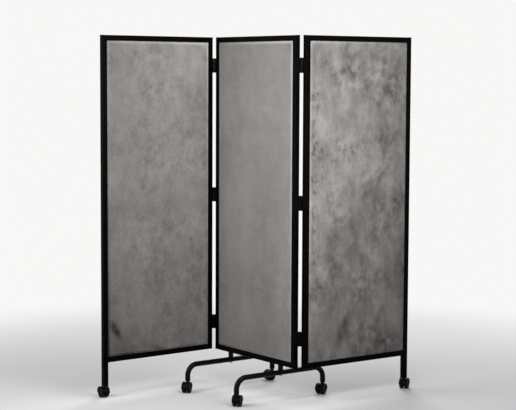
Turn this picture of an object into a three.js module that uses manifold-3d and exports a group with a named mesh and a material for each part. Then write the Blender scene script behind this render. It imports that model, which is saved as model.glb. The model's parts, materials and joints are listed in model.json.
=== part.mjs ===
import * as THREE from 'three';
import { mergeVertices } from 'three/addons/utils/BufferGeometryUtils.js';
import Module from 'manifold-3d';

// A three-panel folding ward screen. Millimetres, +Z up, the middle panel faces -Y.

// The three panels
const TOTAL_HEIGHT = 1727;
const PANEL_WIDTH = 640;
const RAIL_UNDERSIDE = 170;
const LEFT_FOLD_DEG = 91;
const RIGHT_FOLD_DEG = 88.7;

// Square frame tube
const TUBE = 25.4;
const TUBE_CORNER = 3;
const TUBE_WALL = 1.5;
const CORNER_STEPS = 3;

// Clearances and how far a cut runs past what it cuts
const FIT = 0.3;
const OVERRUN = 5;

// Infill: a light board in a stretched fabric sleeve, almost flush with the frame
const INFILL_RECESS = 1.2;
const FABRIC = 0.9;

// Butt hinges, three at each fold
const HINGE_GAP = 9;
const PIN_STAND_OFF = 5;
const HINGE_HEIGHT = 70;
const HINGE_END_INSET = 139;
const LEAF_THICKNESS = 2.2;
const LEAF_REACH = 20;
const KNUCKLES = 5;
const PIN_RADIUS = 2.2;
const PIN_CLEARANCE = 0.4;
const PIN_HEAD = 1.6;
const PIN_HEAD_LIP = 1.2;
const BARREL_SIDES = 12;

// Feet of the middle panel: one bent round tube each, hung below the rail on a spacer
const FOOT_INSET = 118;
const FOOT_REACH = 259;
const FOOT_RADIUS = 12.7;
const FOOT_WALL = 1.5;
const FOOT_BEND = 52;
const BEND_STEPS = 6;
const FOOT_SIDES = 16;
const SPACER_HEIGHT = 24;
const SPACER_RADIUS = 12.3;
const BOLT_RADIUS = 4;
const BOLT_CLEARANCE = 0.4;
const BOLT_HEAD_RADIUS = 7;
const BOLT_HEAD_HEIGHT = 4.4;
const BOLT_END = 9;
const BOLT_SIDES = 12;

// Casters: a hood on a stem, two free wheels on its axle
const WHEEL_RADIUS = 25;
const WHEEL_WIDTH = 15;
const WHEEL_SIDES = 20;
const TREAD_EDGE = 1.6;
const WHEEL_BEVEL = 4;
const HUB_RECESS = 2.5;
const HUB_RECESS_RADIUS = 13;
const WEB_THICKNESS = 10;
const WEB_GROUND_CLEARANCE = 9;
const AXLE_RADIUS = 3;
const AXLE_CLEARANCE = 0.25;
const AXLE_END = 1;
const HOOD_CLEARANCE = 1.3;
const HOOD_WALL = 1.8;
const HOOD_SKIRT = 3;
const HOOD_OVERHANG = 0.8;
const HOOD_STEPS = 12;
const CASTER_TRAIL = 16;
const TUBE_OVER_HOOD = 2.9;
const BOSS_RADIUS = 9;
const COLLAR_RADIUS = 7.2;
const COLLAR_HEIGHT = 3.7;
const STEM_RADIUS = 5.5;
const STEM_CLEARANCE = 0.35;
const STEM_LENGTH = 32;
const STEM_SIDES = 16;
const SOCKET_LENGTH = 18;

// The way each caster trails at rest, in degrees in the frame of the panel that carries it
const TRAIL_DEG = {
  left_panel: 84,
  right_panel: 34,
  left_foot_front: -50,
  left_foot_back: -90,
  right_foot_front: 129,
  right_foot_back: -64,
};

const panelTop = TOTAL_HEIGHT;
const panelHeight = TOTAL_HEIGHT - RAIL_UNDERSIDE;
const footAxis = RAIL_UNDERSIDE - SPACER_HEIGHT - FOOT_RADIUS;
const mitreShift = FIT * Math.SQRT2;
const infillThickness = TUBE - 2 * INFILL_RECESS;
const pinAside = PANEL_WIDTH / 2 + HINGE_GAP / 2;
const pinAhead = TUBE / 2 + PIN_STAND_OFF;
const wheelInner = WEB_THICKNESS / 2 + FIT;
const wheelOuter = wheelInner + WHEEL_WIDTH;
const hoodInnerRadius = WHEEL_RADIUS + HOOD_CLEARANCE;
const hoodRadius = hoodInnerRadius + HOOD_WALL;
const hoodHalfWidth = wheelOuter + HOOD_OVERHANG;
const casterHeight = WHEEL_RADIUS + hoodRadius + TUBE_OVER_HOOD;
const bossHeight = casterHeight - FIT - COLLAR_HEIGHT;

const frameBlack = { color: 0x101011, roughness: 0.42, metalness: 0.1 };
const hingeBlack = { color: 0x141415, roughness: 0.35, metalness: 0.3 };
const steel = { color: 0x8d8f92, roughness: 0.35, metalness: 0.9 };
const fabricGrey = { color: 0x8d8986, roughness: 0.95, metalness: 0 };
const boardTan = { color: 0xa08a68, roughness: 0.9, metalness: 0 };
const hoodBlack = { color: 0x0d0d0e, roughness: 0.4, metalness: 0 };
const wheelBlack = { color: 0x17171a, roughness: 0.55, metalness: 0 };

const wasm = await Module();
wasm.setup();

function solidOf(geometry) {
  const bare = geometry.clone();
  bare.deleteAttribute('normal');
  bare.deleteAttribute('uv');
  const welded = mergeVertices(bare);
  return new wasm.Manifold(new wasm.Mesh({
    numProp: 3,
    vertProperties: Float32Array.from(welded.attributes.position.array),
    triVerts: Uint32Array.from(welded.index.array),
  }));
}

function geometryOf(solid) {
  const mesh = solid.getMesh();
  const geometry = new THREE.BufferGeometry();
  geometry.setAttribute('position', new THREE.BufferAttribute(mesh.vertProperties, 3));
  geometry.setIndex(new THREE.BufferAttribute(mesh.triVerts, 1));
  geometry.computeVertexNormals();
  return geometry;
}

function named(name, geometry, look) {
  const mesh = new THREE.Mesh(geometry, new THREE.MeshStandardMaterial(look));
  mesh.name = name;
  return mesh;
}

// An upright prism of the given radius to its corners, from z = low to z = high
function upright(radius, low, high, sides) {
  return new THREE.CylinderGeometry(radius, radius, high - low, sides)
    .rotateX(Math.PI / 2)
    .translate(0, 0, (low + high) / 2);
}

function block(low, high) {
  const size = new THREE.Vector3().subVectors(high, low);
  const centre = new THREE.Vector3().addVectors(high, low).multiplyScalar(1 / 2);
  return new THREE.BoxGeometry(size.x, size.y, size.z).translate(centre.x, centre.y, centre.z);
}

function roundedSquare(side, corner, path = new THREE.Shape()) {
  const reach = side / 2 - corner;
  const turns = [[1, 1, 0], [-1, 1, 1], [-1, -1, 2], [1, -1, 3]];
  for (const [x, y, quarter] of turns) {
    for (let step = 0; step <= CORNER_STEPS; step += 1) {
      const angle = (quarter + step / CORNER_STEPS) * Math.PI / 2;
      const px = x * reach + corner * Math.cos(angle);
      const py = y * reach + corner * Math.sin(angle);
      if (quarter === 0 && step === 0) path.moveTo(px, py);
      else path.lineTo(px, py);
    }
  }
  path.closePath();
  return path;
}

// A straight length of frame tube from z = 0 to z = length. Its -X side is the long one where
// an end is mitred, so +X points into the panel.
function frameTube(length, startMitred, endMitred, hollow = true) {
  const section = roundedSquare(TUBE, TUBE_CORNER);
  if (hollow) {
    section.holes.push(roundedSquare(TUBE - 2 * TUBE_WALL, TUBE_CORNER - TUBE_WALL, new THREE.Path()));
  }
  const geometry = new THREE.ExtrudeGeometry(section, { depth: length, bevelEnabled: false });
  const place = geometry.attributes.position;
  for (let index = 0; index < place.count; index += 1) {
    const inward = place.getX(index) + TUBE / 2;
    const atEnd = place.getZ(index) > length / 2;
    if (atEnd && endMitred) place.setZ(index, length - inward);
    if (!atEnd && startMitred) place.setZ(index, inward);
  }
  return geometry;
}

// A leg post: closed at its foot by a socket with a bore for the caster's stem
function legPost() {
  const length = panelTop - casterHeight;
  const hollow = new THREE.ExtrudeGeometry(
    roundedSquare(TUBE - 2 * TUBE_WALL, TUBE_CORNER - TUBE_WALL),
    { depth: length, bevelEnabled: false },
  ).translate(0, 0, SOCKET_LENGTH);
  const bore = upright(STEM_RADIUS + STEM_CLEARANCE, -OVERRUN, SOCKET_LENGTH + OVERRUN, STEM_SIDES);
  return geometryOf(solidOf(frameTube(length, false, true, false))
    .subtract(solidOf(hollow))
    .subtract(solidOf(bore)));
}

function post(side, isLeg) {
  const geometry = isLeg ? legPost() : frameTube(panelHeight, true, true);
  if (side > 0) geometry.rotateZ(Math.PI);
  const centre = side * (PANEL_WIDTH - TUBE) / 2;
  return geometry.translate(centre, 0, isLeg ? casterHeight : RAIL_UNDERSIDE);
}

function topRail() {
  const geometry = frameTube(PANEL_WIDTH - 2 * mitreShift, true, true);
  geometry.rotateY(Math.PI / 2);
  return geometry.translate(mitreShift - PANEL_WIDTH / 2, 0, panelTop - TUBE / 2);
}

// The bottom rail is mitred to an inner post and butts against a leg post
function bottomRail(legSide) {
  const leftEnd = legSide < 0 ? TUBE + FIT : mitreShift;
  const rightEnd = legSide > 0 ? TUBE + FIT : mitreShift;
  const length = PANEL_WIDTH - leftEnd - rightEnd;
  const geometry = frameTube(length, legSide <= 0, legSide >= 0);
  geometry.rotateY(-Math.PI / 2);
  return geometry.translate(PANEL_WIDTH / 2 - rightEnd, 0, RAIL_UNDERSIDE + TUBE / 2);
}

function bottomRailWithBoltHoles() {
  let rail = solidOf(bottomRail(0));
  for (const side of [-1, 1]) {
    const hole = upright(
      BOLT_RADIUS + BOLT_CLEARANCE, RAIL_UNDERSIDE - OVERRUN, RAIL_UNDERSIDE + OVERRUN, BOLT_SIDES,
    );
    rail = rail.subtract(solidOf(hole.translate(side * footPlace(), 0, 0)));
  }
  return geometryOf(rail);
}

const sleeveWidth = PANEL_WIDTH - 2 * (TUBE + FIT);
const infillLow = RAIL_UNDERSIDE + TUBE + FIT;
const infillHigh = panelTop - TUBE - FIT;

function rectangle(width, depth, path = new THREE.Shape()) {
  path.moveTo(-width / 2, -depth / 2);
  path.lineTo(width / 2, -depth / 2);
  path.lineTo(width / 2, depth / 2);
  path.lineTo(-width / 2, depth / 2);
  path.closePath();
  return path;
}

function infillBoard() {
  const less = 2 * (FABRIC + FIT);
  const outline = rectangle(sleeveWidth - less, infillThickness - less);
  return new THREE.ExtrudeGeometry(outline, { depth: infillHigh - infillLow, bevelEnabled: false })
    .translate(0, 0, infillLow);
}

function fabricSleeve() {
  const outline = rectangle(sleeveWidth, infillThickness);
  outline.holes.push(
    rectangle(sleeveWidth - 2 * FABRIC, infillThickness - 2 * FABRIC, new THREE.Path()),
  );
  return new THREE.ExtrudeGeometry(outline, { depth: infillHigh - infillLow, bevelEnabled: false })
    .translate(0, 0, infillLow);
}

// A panel's frame and infill, centred on its width. legSide is the side of its leg post, or 0.
function panel(name, legSide) {
  const group = new THREE.Group();
  for (const side of [-1, 1]) {
    const isLeg = side === legSide;
    const word = legSide === 0 ? (side < 0 ? 'left' : 'right') : (isLeg ? 'outer' : 'inner');
    group.add(named(`${name}_${word}_post`, post(side, isLeg), frameBlack));
  }
  const rail = legSide === 0 ? bottomRailWithBoltHoles() : bottomRail(legSide);
  group.add(named(`${name}_top_rail`, topRail(), frameBlack));
  group.add(named(`${name}_bottom_rail`, rail, frameBlack));
  group.add(named(`${name}_core_board`, infillBoard(), boardTan));
  group.add(named(`${name}_fabric_sleeve`, fabricSleeve(), fabricGrey));
  return group;
}

const leafOuterFace = HINGE_GAP / 2 - FIT;
const barrelRadius = leafOuterFace;
const knuckleHeight = HINGE_HEIGHT / KNUCKLES;

// A hinge leaf about the pin at the origin, from z = 0 up. asideSign is the side of the post
// that carries it and towardSign the side on which the panels' edges lie.
function hingeLeaf(asideSign, towardSign, firstKnuckle) {
  const inner = asideSign * (leafOuterFace - LEAF_THICKNESS);
  const outer = asideSign * leafOuterFace;
  const far = towardSign * (PIN_STAND_OFF + LEAF_REACH);
  let leaf = solidOf(block(
    new THREE.Vector3(Math.min(inner, outer), Math.min(0, far), 0),
    new THREE.Vector3(Math.max(inner, outer), Math.max(0, far), HINGE_HEIGHT),
  ));
  for (let index = 0; index < KNUCKLES; index += 1) {
    const low = index * knuckleHeight;
    const high = low + knuckleHeight;
    if (index % 2 === firstKnuckle) {
      leaf = leaf.add(solidOf(upright(barrelRadius, low + FIT / 2, high - FIT / 2, BARREL_SIDES)));
    } else {
      const room = upright(barrelRadius + FIT, low - FIT / 2, high + FIT / 2, BARREL_SIDES);
      leaf = leaf.subtract(solidOf(room));
    }
  }
  const bore = upright(PIN_RADIUS + PIN_CLEARANCE, -OVERRUN, HINGE_HEIGHT + OVERRUN, BARREL_SIDES);
  return geometryOf(leaf.subtract(solidOf(bore)));
}

function hingePin() {
  const shank = upright(PIN_RADIUS, 0, HINGE_HEIGHT + FIT, BARREL_SIDES);
  const headLow = HINGE_HEIGHT + FIT;
  const head = upright(PIN_RADIUS + PIN_HEAD_LIP, headLow - OVERRUN, headLow + PIN_HEAD, BARREL_SIDES);
  const trim = upright(barrelRadius * 2, headLow - 2 * OVERRUN, headLow, BARREL_SIDES);
  return geometryOf(solidOf(head).subtract(solidOf(trim)).add(solidOf(shank)));
}

const hingePlaces = {
  upper: panelTop - HINGE_END_INSET,
  centre: (panelTop + RAIL_UNDERSIDE) / 2,
  lower: RAIL_UNDERSIDE + HINGE_END_INSET,
};

// The three hinges of one fold. towardSign is +1 where the pins stand in front of the panels.
function addHinges(fold, pinSide, towardSign, wing, body) {
  for (const [level, height] of Object.entries(hingePlaces)) {
    const low = height - HINGE_HEIGHT / 2;
    const onWing = named(
      `${fold}_${level}_hinge_wing_leaf`, hingeLeaf(pinSide, towardSign, 1), hingeBlack,
    );
    onWing.position.z = low;
    wing.add(onWing);
    const onBody = named(
      `${fold}_${level}_hinge_middle_leaf`, hingeLeaf(-pinSide, towardSign, 0), hingeBlack,
    );
    const pin = named(`${fold}_${level}_hinge_pin`, hingePin(), steel);
    for (const piece of [onBody, pin]) {
      piece.position.set(pinSide * pinAside, -towardSign * pinAhead, low);
      body.add(piece);
    }
  }
}

function footPlace() {
  return PANEL_WIDTH / 2 - FOOT_INSET;
}

// The foot's centreline in the YZ plane: down, round a bend, across, round a bend and down.
// Its parameter goes from ring to ring, so that the straight stretches take one step each.
class FootLine extends THREE.Curve {
  constructor(tail) {
    super();
    this.rings = FootLine.halfRings(tail);
    const other = this.rings.map(([place, way]) => [
      new THREE.Vector3(0, -place.y, place.z),
      new THREE.Vector3(0, way.y, -way.z),
    ]);
    this.rings.push(...other.reverse());
  }

  static halfRings(tail) {
    const rings = [[new THREE.Vector3(0, -FOOT_REACH, tail), new THREE.Vector3(0, 0, 1)]];
    for (let step = 0; step <= BEND_STEPS; step += 1) {
      const angle = (step / BEND_STEPS) * Math.PI / 2;
      const place = new THREE.Vector3(
        0,
        FOOT_BEND * (1 - Math.cos(angle)) - FOOT_REACH,
        footAxis - FOOT_BEND * (1 - Math.sin(angle)),
      );
      rings.push([place, new THREE.Vector3(0, Math.sin(angle), Math.cos(angle))]);
    }
    return rings;
  }

  ring(share) {
    return this.rings[Math.round(share * (this.rings.length - 1))];
  }

  getPointAt(share, target = new THREE.Vector3()) {
    return target.copy(this.ring(share)[0]);
  }

  getTangentAt(share, target = new THREE.Vector3()) {
    return target.copy(this.ring(share)[1]);
  }
}

function circle(radius, sides) {
  const shape = new THREE.Shape();
  for (let index = 0; index < sides; index += 1) {
    const angle = (index / sides) * 2 * Math.PI;
    const x = radius * Math.cos(angle);
    const y = radius * Math.sin(angle);
    if (index === 0) shape.moveTo(x, y);
    else shape.lineTo(x, y);
  }
  shape.closePath();
  return shape;
}

function sweptFoot(radius, tail) {
  const line = new FootLine(tail);
  return new THREE.ExtrudeGeometry(circle(radius, FOOT_SIDES), {
    steps: line.rings.length - 1,
    bevelEnabled: false,
    extrudePath: line,
  });
}

function footTube() {
  let foot = solidOf(sweptFoot(FOOT_RADIUS, casterHeight));
  foot = foot.subtract(solidOf(sweptFoot(FOOT_RADIUS - FOOT_WALL, casterHeight + SOCKET_LENGTH)));
  for (const end of [-1, 1]) {
    const top = casterHeight + SOCKET_LENGTH + OVERRUN;
    const bore = upright(STEM_RADIUS + STEM_CLEARANCE, casterHeight - OVERRUN, top, STEM_SIDES);
    foot = foot.subtract(solidOf(bore.translate(0, end * FOOT_REACH, 0)));
  }
  const low = footAxis - FOOT_RADIUS - OVERRUN;
  const high = footAxis + FOOT_RADIUS + OVERRUN;
  const hole = upright(BOLT_RADIUS + BOLT_CLEARANCE, low, high, BOLT_SIDES);
  return geometryOf(foot.subtract(solidOf(hole)));
}

// The spacer sits on the tube with a saddle and carries the rail
function footSpacer() {
  const high = RAIL_UNDERSIDE - FIT;
  const saddle = new THREE.ExtrudeGeometry(circle(FOOT_RADIUS + FIT, FOOT_SIDES), {
    depth: 4 * SPACER_RADIUS,
    bevelEnabled: false,
  });
  saddle.rotateX(Math.PI / 2).translate(0, 2 * SPACER_RADIUS, footAxis);
  const hole = upright(BOLT_RADIUS + BOLT_CLEARANCE, footAxis, high + OVERRUN, BOLT_SIDES);
  return geometryOf(solidOf(upright(SPACER_RADIUS, footAxis, high, FOOT_SIDES))
    .subtract(solidOf(saddle))
    .subtract(solidOf(hole)));
}

function footBolt() {
  const seat = footAxis - FOOT_RADIUS - FIT;
  const low = seat - BOLT_HEAD_HEIGHT;
  const high = RAIL_UNDERSIDE + BOLT_END;
  const outline = [
    new THREE.Vector2(0, low),
    new THREE.Vector2(BOLT_HEAD_RADIUS / 2, low),
    new THREE.Vector2(BOLT_HEAD_RADIUS, low + BOLT_HEAD_HEIGHT / 2),
    new THREE.Vector2(BOLT_HEAD_RADIUS, seat),
    new THREE.Vector2(BOLT_RADIUS, seat),
    new THREE.Vector2(BOLT_RADIUS, high),
    new THREE.Vector2(0, high),
  ];
  return new THREE.LatheGeometry(outline, BOLT_SIDES).rotateX(Math.PI / 2);
}

// A wheel on the axle line Y, with a flat of its tread at the floor
function wheel(side) {
  const tread = WHEEL_RADIUS / Math.cos(Math.PI / WHEEL_SIDES);
  const bore = AXLE_RADIUS + AXLE_CLEARANCE;
  const outline = [
    new THREE.Vector2(bore, wheelInner),
    new THREE.Vector2(tread - TREAD_EDGE, wheelInner),
    new THREE.Vector2(tread, wheelInner + TREAD_EDGE),
    new THREE.Vector2(tread, wheelOuter - WHEEL_BEVEL),
    new THREE.Vector2(tread - WHEEL_BEVEL, wheelOuter),
    new THREE.Vector2(HUB_RECESS_RADIUS, wheelOuter),
    new THREE.Vector2(HUB_RECESS_RADIUS, wheelOuter - HUB_RECESS),
    new THREE.Vector2(bore, wheelOuter - HUB_RECESS),
    new THREE.Vector2(bore, wheelInner),
  ];
  const geometry = new THREE.LatheGeometry(outline, WHEEL_SIDES, Math.PI / WHEEL_SIDES);
  if (side < 0) geometry.rotateX(Math.PI);
  return geometry.translate(CASTER_TRAIL, 0, WHEEL_RADIUS);
}

// A slab across the axle line, cut from an outline in X and Z
function acrossAxle(shape, halfWidth) {
  const geometry = new THREE.ExtrudeGeometry(shape, { depth: 2 * halfWidth, bevelEnabled: false });
  return geometry.rotateX(Math.PI / 2).translate(CASTER_TRAIL, halfWidth, WHEEL_RADIUS);
}

function hoodOutline(radius, drop) {
  const shape = new THREE.Shape();
  shape.moveTo(radius, -drop);
  for (let step = 0; step <= HOOD_STEPS; step += 1) {
    const angle = (step / HOOD_STEPS) * Math.PI;
    shape.lineTo(radius * Math.cos(angle), radius * Math.sin(angle));
  }
  shape.lineTo(-radius, -drop);
  shape.closePath();
  return shape;
}

// The hood with its middle web, axle, boss and stem
function hood() {
  const cover = solidOf(acrossAxle(hoodOutline(hoodRadius, HOOD_SKIRT), hoodHalfWidth));
  const room = solidOf(acrossAxle(
    hoodOutline(hoodInnerRadius, WHEEL_RADIUS), hoodHalfWidth + OVERRUN,
  ));
  const webRadius = hoodRadius - HOOD_WALL / 2;
  const web = solidOf(acrossAxle(hoodOutline(webRadius, HOOD_SKIRT), WEB_THICKNESS / 2));
  const webFoot = solidOf(acrossAxle(
    circle(WHEEL_RADIUS - WEB_GROUND_CLEARANCE, STEM_SIDES), WEB_THICKNESS / 2,
  ));
  const axle = solidOf(acrossAxle(
    circle(AXLE_RADIUS, BOLT_SIDES), wheelOuter - HUB_RECESS + AXLE_END,
  ));
  const boss = solidOf(upright(BOSS_RADIUS, WHEEL_RADIUS, bossHeight, STEM_SIDES));
  const collar = solidOf(upright(COLLAR_RADIUS, WHEEL_RADIUS, casterHeight - FIT, STEM_SIDES));
  const stem = solidOf(upright(
    STEM_RADIUS, bossHeight, casterHeight + STEM_LENGTH, STEM_SIDES,
  ));
  const shell = cover.add(boss).add(collar).subtract(room);
  return geometryOf(shell.add(web).add(webFoot).add(axle).add(stem));
}

// A caster whose stem is the Z axis at the floor point given
function addCaster(parent, name, x, y) {
  const caster = new THREE.Group();
  caster.name = `${name}_caster`;
  caster.position.set(x, y, 0);
  caster.rotation.z = THREE.MathUtils.degToRad(TRAIL_DEG[name]);
  caster.add(named(`${name}_caster_hood`, hood(), hoodBlack));
  caster.add(named(`${name}_caster_wheel_a`, wheel(1), wheelBlack));
  caster.add(named(`${name}_caster_wheel_b`, wheel(-1), wheelBlack));
  parent.add(caster);
}

function addFoot(parent, side) {
  const word = side < 0 ? 'left' : 'right';
  const foot = new THREE.Group();
  foot.position.x = side * footPlace();
  foot.add(named(`${word}_foot_tube`, footTube(), frameBlack));
  foot.add(named(`${word}_foot_spacer`, footSpacer(), frameBlack));
  foot.add(named(`${word}_foot_bolt`, footBolt(), steel));
  addCaster(foot, `${word}_foot_front`, 0, -FOOT_REACH);
  addCaster(foot, `${word}_foot_back`, 0, FOOT_REACH);
  parent.add(foot);
}

// A wing panel turned about its hinge pins. side is -1 on the left, where the pins are in
// front, and 1 on the right, where they are behind.
function wingPanel(name, side, foldDeg) {
  const wing = new THREE.Group();
  wing.name = `${name}_fold`;
  wing.position.set(side * pinAside, side * pinAhead, 0);
  wing.rotation.z = THREE.MathUtils.degToRad(foldDeg);
  const body = panel(name, side);
  body.position.set(side * pinAside, -side * pinAhead, 0);
  addCaster(body, name, side * (PANEL_WIDTH - TUBE) / 2, 0);
  wing.add(body);
  return wing;
}

function wardScreen() {
  const screen = new THREE.Group();
  const middle = panel('middle_panel', 0);
  const left = wingPanel('left_panel', -1, LEFT_FOLD_DEG);
  const right = wingPanel('right_panel', 1, RIGHT_FOLD_DEG);
  addHinges('left', -1, 1, left, middle);
  addHinges('right', 1, -1, right, middle);
  addFoot(middle, -1);
  addFoot(middle, 1);
  screen.add(middle, left, right);
  const centre = new THREE.Box3().setFromObject(screen, true).getCenter(new THREE.Vector3());
  screen.position.set(-centre.x, -centre.y, 0);
  screen.updateMatrixWorld(true);
  return screen;
}

export default wardScreen();
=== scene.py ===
"""A folding ward screen on casters: three black tube frames with grey fabric infills."""

import json
import math
from contextlib import contextmanager

import bmesh
import bpy
from mathutils import Matrix, Vector


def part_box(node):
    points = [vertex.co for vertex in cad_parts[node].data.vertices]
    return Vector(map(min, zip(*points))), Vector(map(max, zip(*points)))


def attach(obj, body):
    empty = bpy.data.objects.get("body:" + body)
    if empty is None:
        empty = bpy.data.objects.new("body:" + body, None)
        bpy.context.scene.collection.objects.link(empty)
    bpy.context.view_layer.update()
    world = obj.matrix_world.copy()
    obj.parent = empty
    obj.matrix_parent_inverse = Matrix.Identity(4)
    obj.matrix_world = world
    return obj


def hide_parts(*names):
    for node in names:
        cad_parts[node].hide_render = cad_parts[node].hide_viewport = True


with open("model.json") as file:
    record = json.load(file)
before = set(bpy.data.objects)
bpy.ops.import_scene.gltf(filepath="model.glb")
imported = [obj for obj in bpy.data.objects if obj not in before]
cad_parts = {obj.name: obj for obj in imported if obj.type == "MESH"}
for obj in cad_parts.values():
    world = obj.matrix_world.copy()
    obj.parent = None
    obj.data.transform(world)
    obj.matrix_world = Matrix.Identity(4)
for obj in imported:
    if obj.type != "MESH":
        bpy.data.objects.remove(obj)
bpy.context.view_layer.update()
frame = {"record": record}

# The picture's width in pixels, the camera's sensor in millimetres, and the camera that fits
# them, in metres and degrees, with its place counted from the middle of the middle panel
PICTURE_WIDTH = 516
FOCAL_LENGTH_PIXELS = 1493.9
SENSOR_WIDTH = 36
CAMERA_PLACE = (5.7470, -4.2968, 1.5446)
CAMERA_HEADING = 53.133
CAMERA_PITCH = 4.989
CAMERA_ROLL = 0.254

# The three panels, in metres
TOTAL_HEIGHT = 1.727
PANEL_WIDTH = 0.640
RAIL_UNDERSIDE = 0.170
PANEL_HEIGHT = TOTAL_HEIGHT - RAIL_UNDERSIDE
LEFT_FOLD = math.radians(91)
RIGHT_FOLD = math.radians(88.7)

# How far a cutting shape reaches past what it cuts, how near two places count as one, and
# how near two points are made one
CUT_PAST = 0.01
NEAR = 0.0001
MERGE_DISTANCE = 0.000005

# Sides of round pieces from slim to broad, and the sharpest angle that is shaded smooth
SLIM_SIDES = 20
SMALL_SIDES = 24
ROUND_SIDES = 32
BROAD_SIDES = 40
WHEEL_SIDES = 48
SMOOTH_ANGLE = math.radians(38)

# Square frame tube and the weld at each of its joints
TUBE = 0.0254
TUBE_CORNER = 0.003
TUBE_WALL = 0.0015
CORNER_SEGMENTS = 4
BEAD_WIDTH = 0.0026
BEAD_PROUD = 0.00035
BEAD_ROUND = 1.6 * BEAD_PROUD
BEAD_SINK = 0.0002
BEAD_REACH = 0.0022

# Infill
FIT = 0.0003
INFILL_RECESS = 0.0012
INFILL_THICKNESS = TUBE - 2 * INFILL_RECESS
SLEEVE_WIDTH = PANEL_WIDTH - 2 * (TUBE + FIT)
SLEEVE_LOW = RAIL_UNDERSIDE + TUBE + FIT
SLEEVE_HIGH = TOTAL_HEIGHT - TUBE - FIT
CLOTH = 0.0009
ROLL_WIDTH = 0.014
ROLL_DEPTH = 0.004
ROLL_SEGMENTS = 7

# Marks on the cloth: the small leaning ones are dark streaks in the nap, and the broad upright
# ones are painted shade where they darken and painted light where they are paler. For each,
# how far it lies from the panel's middle and how high, its lean in degrees, its half width
# and half height, and how much it darkens the nap, or below zero how much paler it is there
MARKS = {
    "left_panel": (
        (-0.254, 0.322, -30, (0.033, 0.080), 0.38),
        (-0.028, 0.216, -78, (0.018, 0.075), 0.16),
        (-0.200, 0.190, 0, (0.380, 0.240), 0.17),
        (0.020, 1.330, 0, (0.270, 0.420), -0.05),
    ),
    "middle_panel": (
        (0.290, 0.420, 0, (0.170, 0.800), -0.15),
        (-0.120, 1.470, 0, (0.210, 0.400), 0.06),
    ),
    "right_panel": (
        (-0.090, 0.330, 26, (0.046, 0.125), 0.24),
        (0.258, 0.800, 0, (0.060, 0.460), 0.12),
        (-0.220, 1.500, 0, (0.260, 0.320), 0.11),
        (-0.230, 0.500, 0, (0.200, 0.420), -0.14),
        (0.220, 1.340, 0, (0.120, 0.240), -0.08),
        (0.100, 0.450, 0, (0.200, 0.400), -0.04),
    ),
}
SPECKLES = {
    "right_panel": (
        (-0.268, 0.980, 0, (0.034, 0.700), 0.27),
        (-0.090, 1.190, 74, (0.110, 0.320), 0.20),
    ),
}
MARK_DEPTH = 0.016

# How strong each cloth's nap, clouds and slanting strokes are, how little its nap is drawn
# out upwards, and where its patterns start. The patterns are the cloth's own; their greater
# strength on the right panel is painted light and shade, standing for light grazing its nap
NAP_SHARES = {
    "left_panel": (0.8, 1.1, 0.6, 0.85),
    "middle_panel": (0.45, 0.7, 0.3, 0.48),
    "right_panel": (1.0, 2.1, 1.1, 0.62),
}
NAP_SHIFTS = {
    "left_panel": (0, 0, 0),
    "middle_panel": (3.1, 1.7, 0.4),
    "right_panel": (1.3, 5.2, 2.6),
}
CLOTH_COLOUR = (0.530, 0.500, 0.482, 1)

# Depth of the fine relief in each finish
PEEL_DEPTH = 0.00006
PAINT_DEPTH = 0.00004
STEEL_DEPTH = 0.00003
BOARD_DEPTH = 0.0002
PLASTIC_DEPTH = 0.00005
NAP_DEPTH = 0.0005

# Painted highlight and painted shade where each panel's cloth rolls over its board: how much
# paler, or below zero how much darker, the cloth is at its top, left, right and bottom edge
PAINTED_EDGE_LIGHT = {
    "left_panel": (0.26, -0.10, 0.08, -0.12),
    "middle_panel": (0.17, -0.03, 0.24, -0.10),
    "right_panel": (0.09, 0.10, 0, -0.06),
}
EDGE_FALL = 2

# Hinges
HINGE_GAP = 0.009
PIN_STAND_OFF = 0.005
HINGE_HEIGHT = 0.070
HINGE_END_INSET = 0.139
LEAF_THICKNESS = 0.0022
LEAF_REACH = 0.020
LEAF_CORNER = 0.004
KNUCKLES = 5
KNUCKLE_ROUND = 0.0004
LEAF_ROUND = 0.0003
PIN_RADIUS = 0.0022
PIN_HEAD_RADIUS = 0.0034
PIN_HEAD_HEIGHT = 0.0016
PIN_DOME = 0.8 * PIN_HEAD_HEIGHT
PIN_ASIDE = PANEL_WIDTH / 2 + HINGE_GAP / 2
PIN_AHEAD = TUBE / 2 + PIN_STAND_OFF
LEAF_OUTER_FACE = HINGE_GAP / 2 - FIT
KNUCKLE_HEIGHT = HINGE_HEIGHT / KNUCKLES
SCREW_HEAD_RADIUS = 0.0036
SCREW_HEAD_PROUD = 0.0003
SCREW_HEAD_ROUND = 0.9 * SCREW_HEAD_PROUD
SCREW_SLOT_HALF_LENGTH = 0.6 * SCREW_HEAD_RADIUS
SCREW_SLOT_WIDTH = 0.0008
SCREW_SLOT_DEPTH = 0.0009
SCREW_HEIGHT_SHARES = (0.16, 0.5, 0.84)

# Feet of the middle panel
FOOT_INSET = 0.118
FOOT_REACH = 0.259
FOOT_RADIUS = 0.0127
FOOT_BEND = 0.052
BEND_STEPS = 14
SOCKET_DEPTH = 0.012
PLUG_LIP = 0.0008
PLUG_PROUD = 0.0006
PLUG_SINK = 0.0002
SPACER_HEIGHT = 0.024
SPACER_RADIUS = 0.0123
SPACER_ROUND = 0.0010
FOOT_AXIS = RAIL_UNDERSIDE - SPACER_HEIGHT - FOOT_RADIUS
BOLT_RADIUS = 0.004
BOLT_HEAD_RADIUS = 0.007
BOLT_HEAD_HEIGHT = 0.0044
BOLT_HEAD_ROUND = 0.0026
BOLT_REACH = 0.009
SHANK_SINK = 0.0005
WASHER_RADIUS = 0.0088
WASHER_HEIGHT = 0.0010
WASHER_SINK = 0.0012
WASHER_ROUND = 0.0002
HEX_RECESS_RADIUS = 0.0029
HEX_RECESS_DEPTH = 0.0022

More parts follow.
